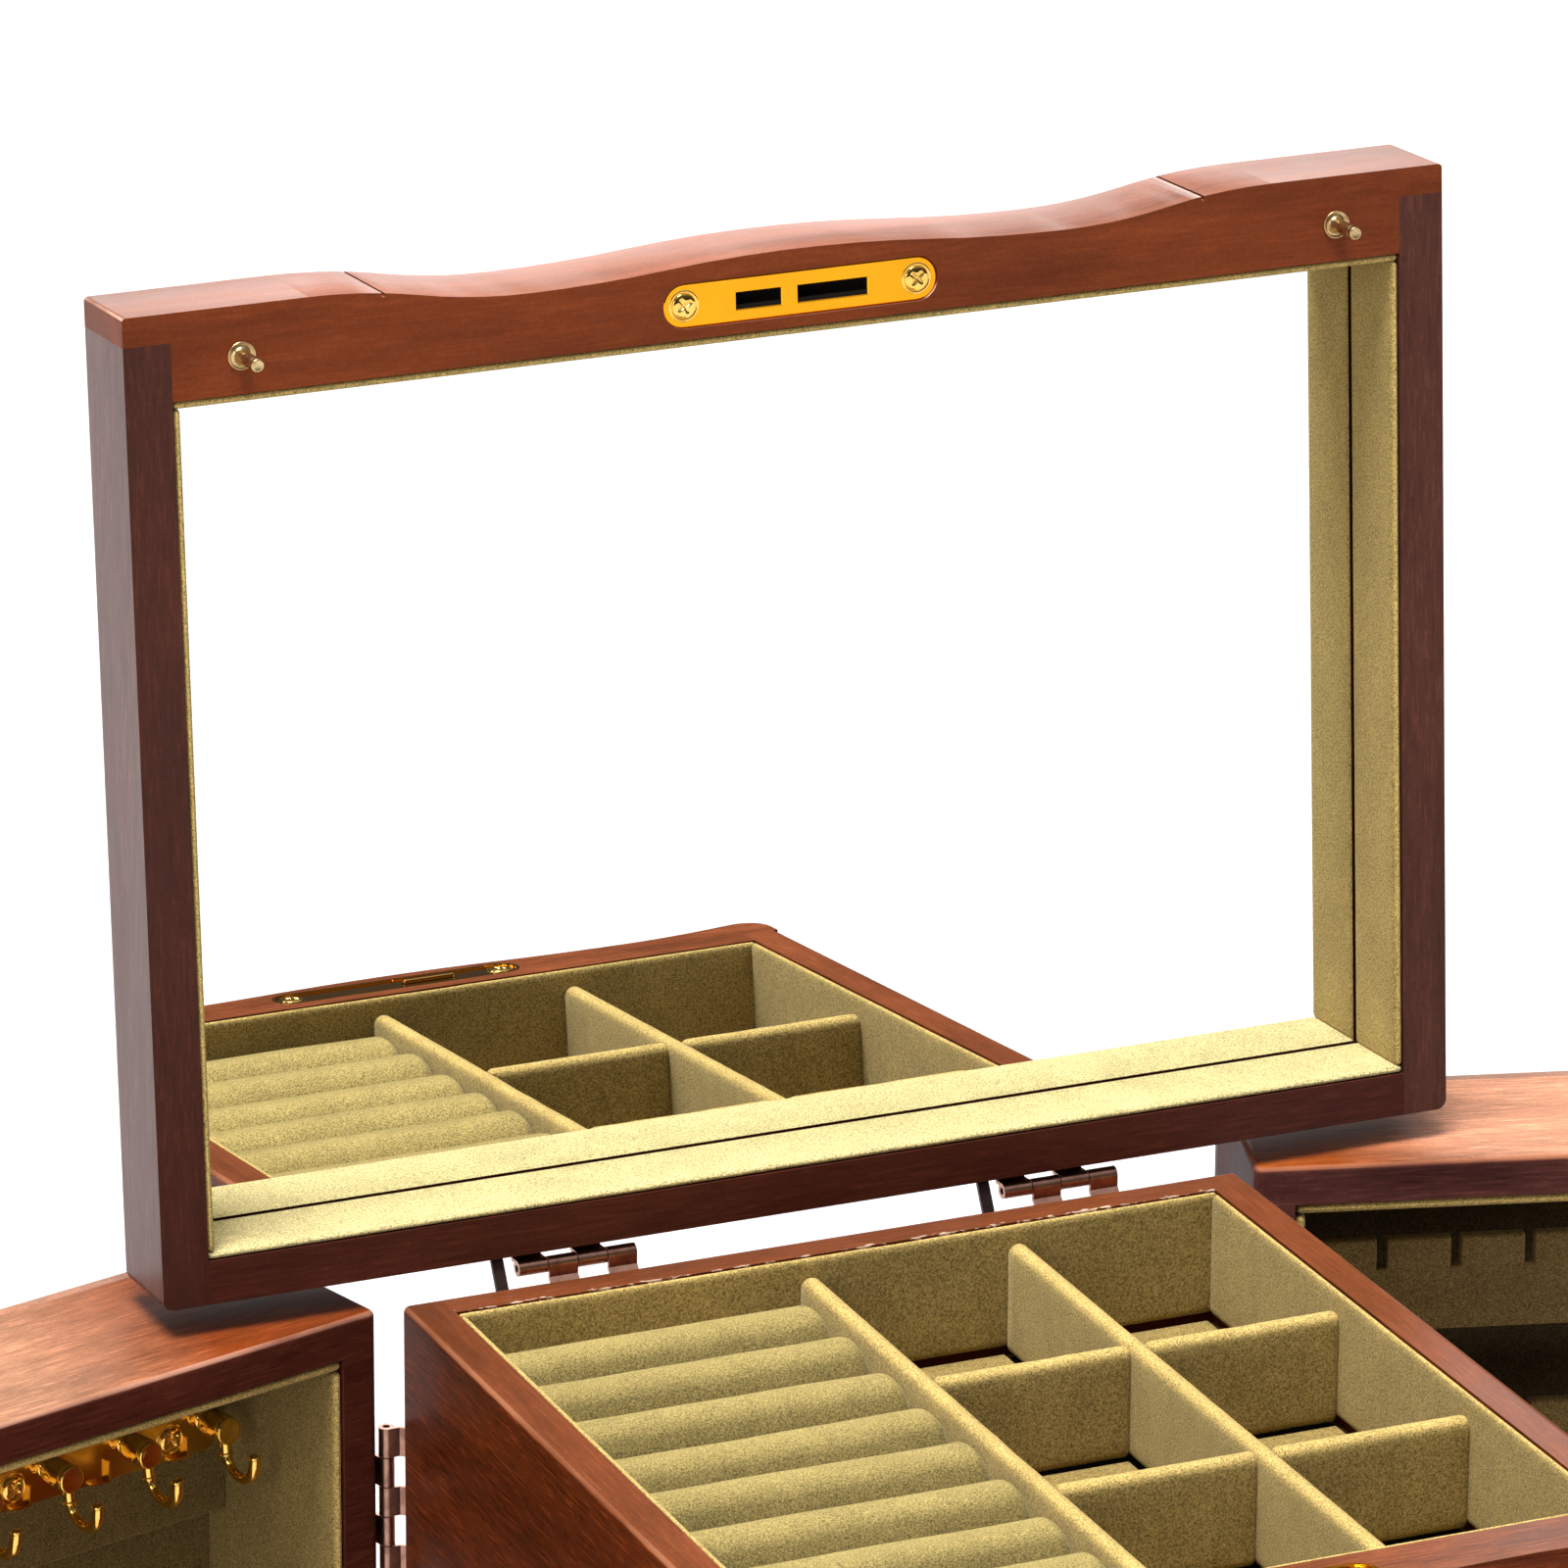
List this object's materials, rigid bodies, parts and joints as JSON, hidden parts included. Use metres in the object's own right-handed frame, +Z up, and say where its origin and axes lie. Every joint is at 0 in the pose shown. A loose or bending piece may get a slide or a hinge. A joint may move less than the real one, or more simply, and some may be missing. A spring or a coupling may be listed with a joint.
{
  "type": "tiered jewelry box",
  "caption": "Tiered wooden jewelry box with a raised mirrored lid, swung-out side doors with hooks and slotted boards, drawers, and a lined tray with ring rolls",
  "frame": {"origin": "on the floor, at the middle of the base's underside, which is the middle of the closed box in plan", "axes": "+X to the box's right side as seen from the front, +Y to the back, +Z up"},
  "size_m": [0.8184, 0.3423, 0.585],
  "materials": {
    "mahogany": "satin lacquer",
    "inner_wood": "matt",
    "olive_suede": "napped",
    "mirror_glass": "mirror",
    "gilt_metal": "polished",
    "aged_brass": "satin",
    "copper_plated_steel": "antiqued",
    "plain_steel": "plain"
  },
  "bodies": {
    "chest": {"chest_left_side": "mahogany", "chest_right_side": "mahogany", "chest_back": "mahogany", "chest_bottom": "inner_wood", "shelf_boards": "inner_wood", "tray_front_rail": "mahogany", "base_plinth": "mahogany", "base_board": "mahogany", "tray_wall_lining": "olive_suede", "tray_floor": "olive_suede", "tray_dividers": "olive_suede", "ring_rolls": "olive_suede", "lock_case": "plain_steel", "lock_plate": "gilt_metal", "lock_screws": "gilt_metal", "keyhole_escutcheon": "gilt_metal", "chest_lid_hinge_leaves": "copper_plated_steel", "chest_door_hinge_leaves": "copper_plated_steel", "chest_hinge_screws": "copper_plated_steel", "hinge_pins": "copper_plated_steel"},
    "lid": {"lid_front_rail": "mahogany", "lid_left_stile": "mahogany", "lid_right_stile": "mahogany", "lid_back_rail": "mahogany", "lid_panel": "mahogany", "lid_mirror": "mirror_glass", "lid_lining": "olive_suede", "strike_plate": "gilt_metal", "strike_screws": "gilt_metal", "locating_pins": "aged_brass", "lid_hinge_leaves": "copper_plated_steel", "lid_hinge_screws": "copper_plated_steel", "lid_stop_arms": "copper_plated_steel"},
    "left_door": {"left_door_frame": "mahogany", "left_door_panel": "mahogany", "left_door_lining": "olive_suede", "left_door_hinge_leaves": "copper_plated_steel", "left_door_hinge_screws": "copper_plated_steel", "hook_rail": "gilt_metal", "hook_rail_screws": "gilt_metal", "necklace_hooks": "gilt_metal"},
    "right_door": {"right_door_frame": "mahogany", "right_door_panel": "mahogany", "right_door_lining": "olive_suede", "right_door_hinge_leaves": "copper_plated_steel", "right_door_hinge_screws": "copper_plated_steel", "earring_combs": "olive_suede"},
    "lock_bolt": {"lock_bolt": "gilt_metal"},
    "drawer_1": {"drawer_1_front": "mahogany", "drawer_1_tray": "inner_wood", "drawer_1_knobs": "gilt_metal"},
    "drawer_2": {"drawer_2_front": "mahogany", "drawer_2_tray": "inner_wood", "drawer_2_knobs": "gilt_metal"},
    "drawer_3": {"drawer_3_front": "mahogany", "drawer_3_tray": "inner_wood", "drawer_3_knobs": "gilt_metal"},
    "drawer_4": {"drawer_4_front": "mahogany", "drawer_4_tray": "inner_wood", "drawer_4_knobs": "gilt_metal"}
  },
  "joints": [
    {"name": "lid_hinge", "type": "hinge", "parent": "chest", "child": "lid", "pos_m": [0, 0.1405, 0.309], "axis": [1, 0, 0], "range_deg": [0, 94]},
    {"name": "left_door_hinge", "type": "hinge", "parent": "chest", "child": "left_door", "pos_m": [-0.128, 0.1405, 0.2], "axis": [0, 0, 1], "range_deg": [-36, 74]},
    {"name": "right_door_hinge", "type": "hinge", "parent": "chest", "child": "right_door", "pos_m": [0.128, 0.1405, 0.2], "axis": [0, 0, 1], "range_deg": [-74, 36]},
    {"name": "drawer_1_slide", "type": "slide", "parent": "chest", "child": "drawer_1", "axis": [0, -1, 0], "range_m": [0, 0.15]},
    {"name": "drawer_2_slide", "type": "slide", "parent": "chest", "child": "drawer_2", "axis": [0, -1, 0], "range_m": [0, 0.15]},
    {"name": "drawer_3_slide", "type": "slide", "parent": "chest", "child": "drawer_3", "axis": [0, -1, 0], "range_m": [0, 0.15]},
    {"name": "drawer_4_slide", "type": "slide", "parent": "chest", "child": "drawer_4", "axis": [0, -1, 0], "range_m": [0, 0.15]},
    {"name": "lock_bolt_slide", "type": "slide", "parent": "chest", "child": "lock_bolt", "axis": [0, 0, 1], "range_m": [0, 0.0036]}
  ]
}
